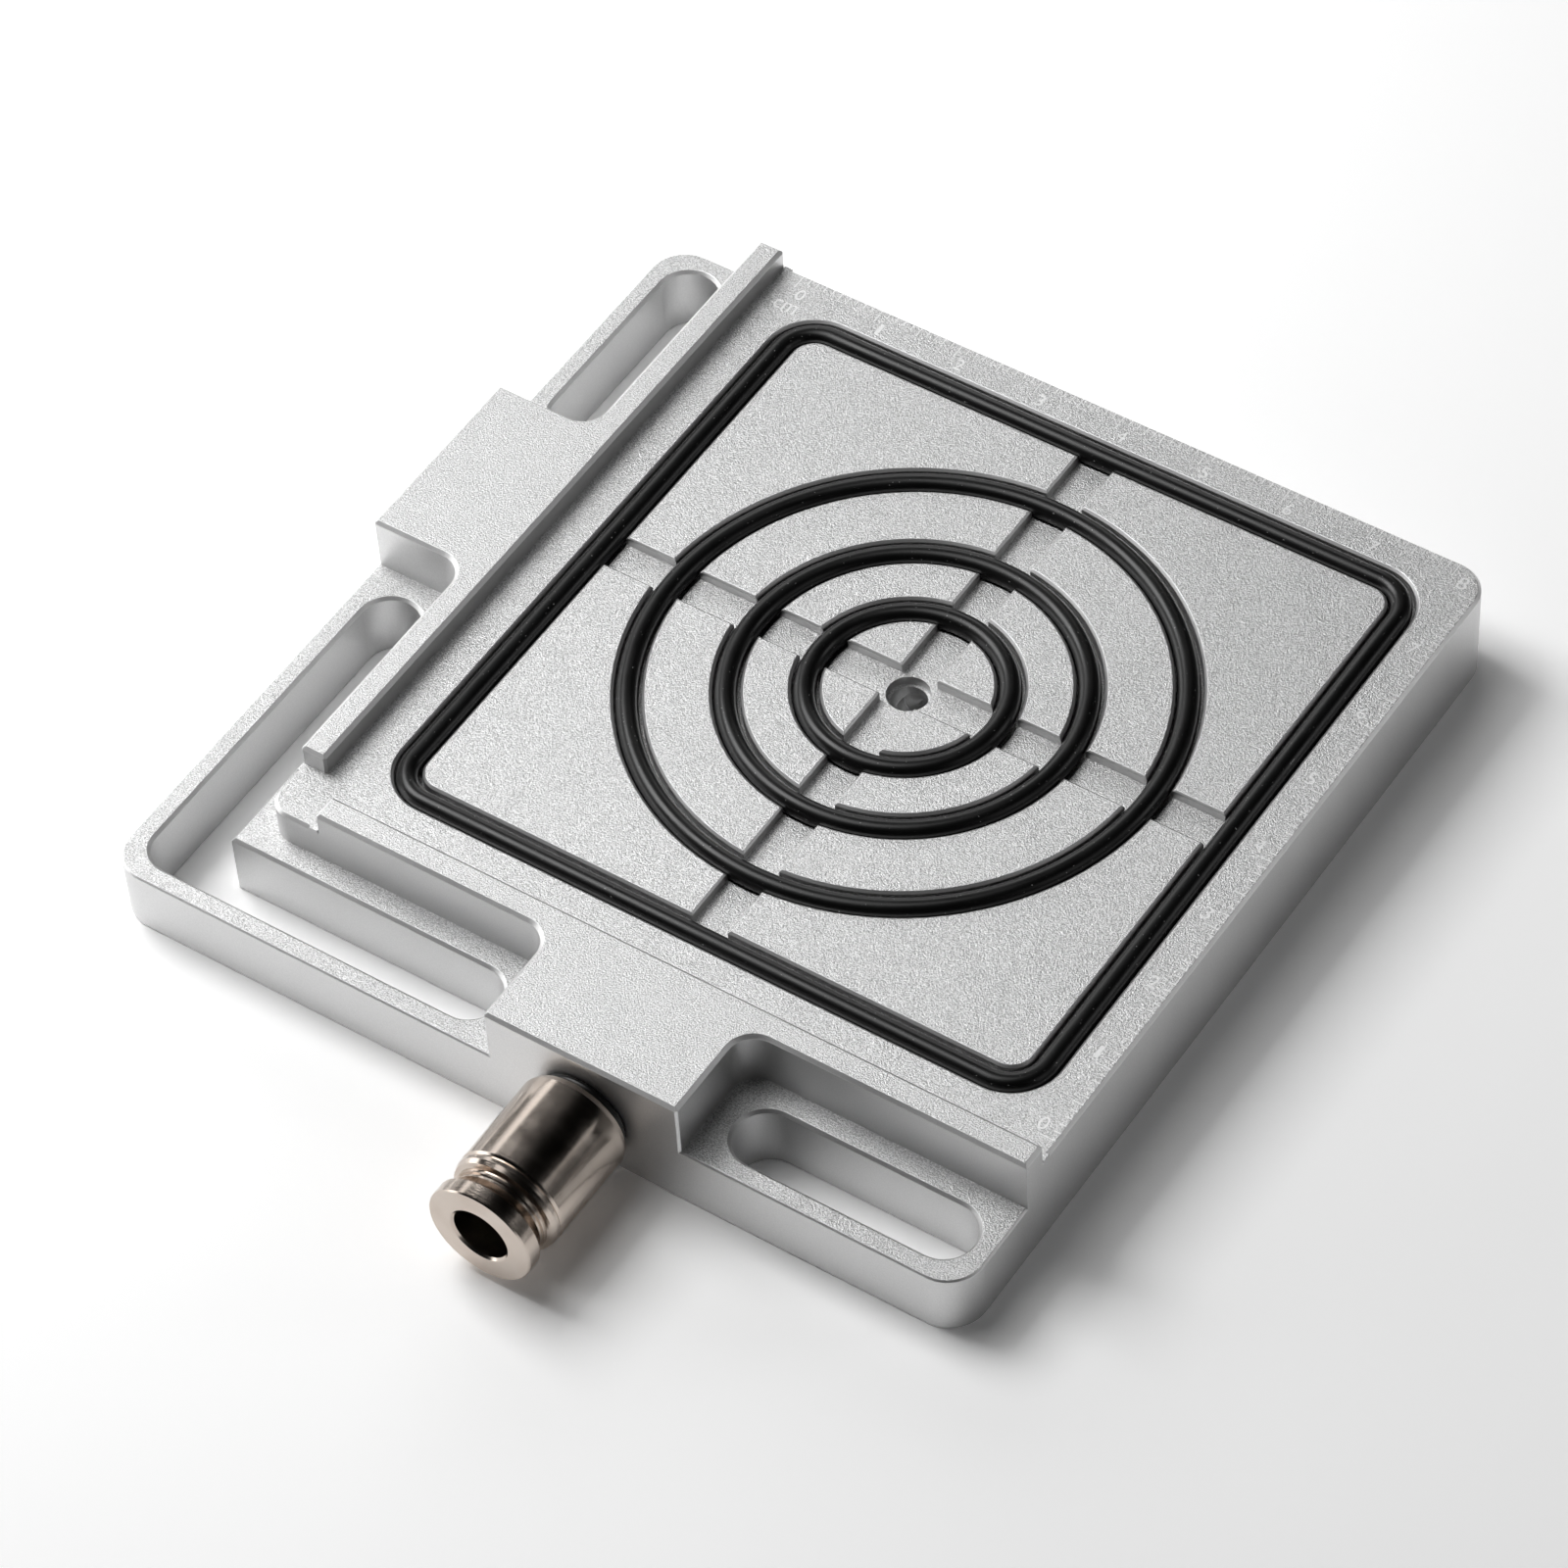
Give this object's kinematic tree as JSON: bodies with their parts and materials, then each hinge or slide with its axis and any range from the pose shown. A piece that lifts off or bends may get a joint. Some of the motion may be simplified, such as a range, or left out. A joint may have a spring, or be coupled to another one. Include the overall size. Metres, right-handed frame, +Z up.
{
  "type": "vacuum clamp pod",
  "caption": "Square vacuum pod with a slotted flange, two locating fences, ring and frame seals round a suction hole, and a push-in hose fitting.",
  "frame": {"origin": "on the underside, directly below the suction hole in the middle of the seals", "axes": "+X along the front edge to the right, +Y away from the hose fitting, +Z up out of the clamping face"},
  "size_m": [0.1013, 0.1189, 0.0143],
  "materials": {
    "anodised_plate": "bead blasted, clear anodised",
    "black_rubber": "satin",
    "nickel_plated_brass": "polished nickel plate",
    "spring_steel": "bright spring steel",
    "white_acetal": "moulded"
  },
  "bodies": {
    "pod": {"base_plate": "anodised_plate", "square_seal": "black_rubber", "large_ring_seal": "black_rubber", "middle_ring_seal": "black_rubber", "small_ring_seal": "black_rubber", "thread_seal": "black_rubber", "fitting_body": "nickel_plated_brass", "tube_seal": "black_rubber", "backup_ring": "white_acetal", "grip_claw": "spring_steel", "guide_ring": "nickel_plated_brass"},
    "release_sleeve": {"release_sleeve": "nickel_plated_brass"}
  },
  "joints": [
    {"name": "release_slide", "type": "slide", "parent": "pod", "child": "release_sleeve", "axis": [0, 1, 0], "range_m": [0, 0.0008], "stiffness_N_per_m": 400}
  ]
}
